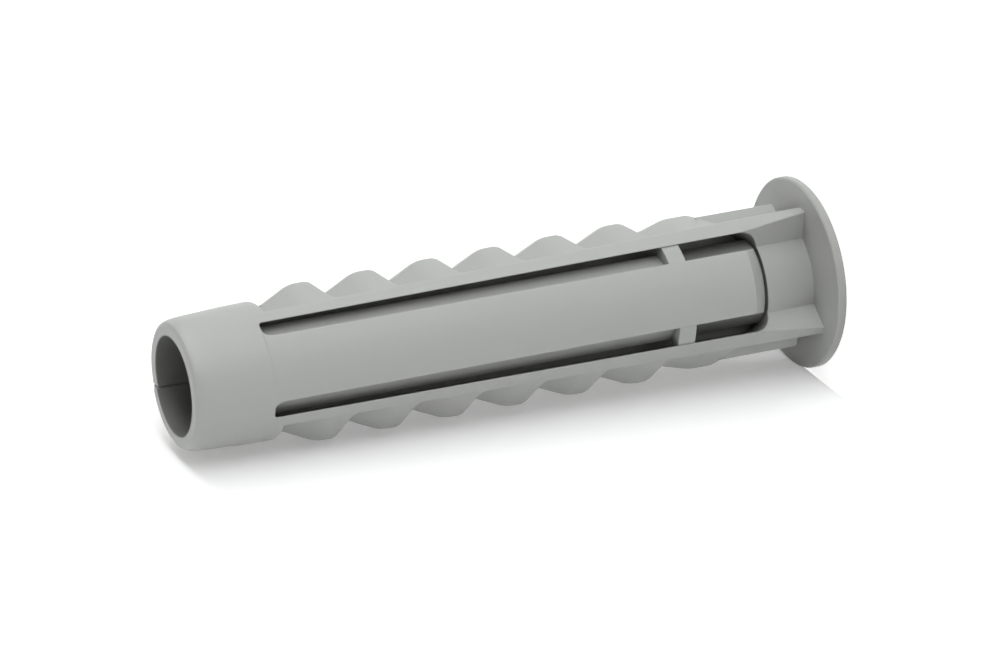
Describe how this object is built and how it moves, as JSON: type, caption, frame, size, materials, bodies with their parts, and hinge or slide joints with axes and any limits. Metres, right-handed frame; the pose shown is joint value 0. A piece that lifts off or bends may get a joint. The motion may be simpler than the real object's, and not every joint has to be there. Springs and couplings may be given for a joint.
{
  "type": "nylon wall plug",
  "caption": "Moulded nylon wall plug with a round collar, a closed sleeve at the tip, two spreading tongues and two rows of teeth.",
  "frame": {"origin": "in the middle of the collar's outer face, on the surface that the plug stands on", "axes": "+Z from the collar to the tip along the plug, -Y towards the front tongue, +X towards a row of teeth"},
  "size_m": [0.0116, 0.0116, 0.04],
  "materials": {
    "nylon": "satin moulded nylon"
  },
  "bodies": {
    "root": {"wall_plug": "nylon"}
  },
  "joints": []
}
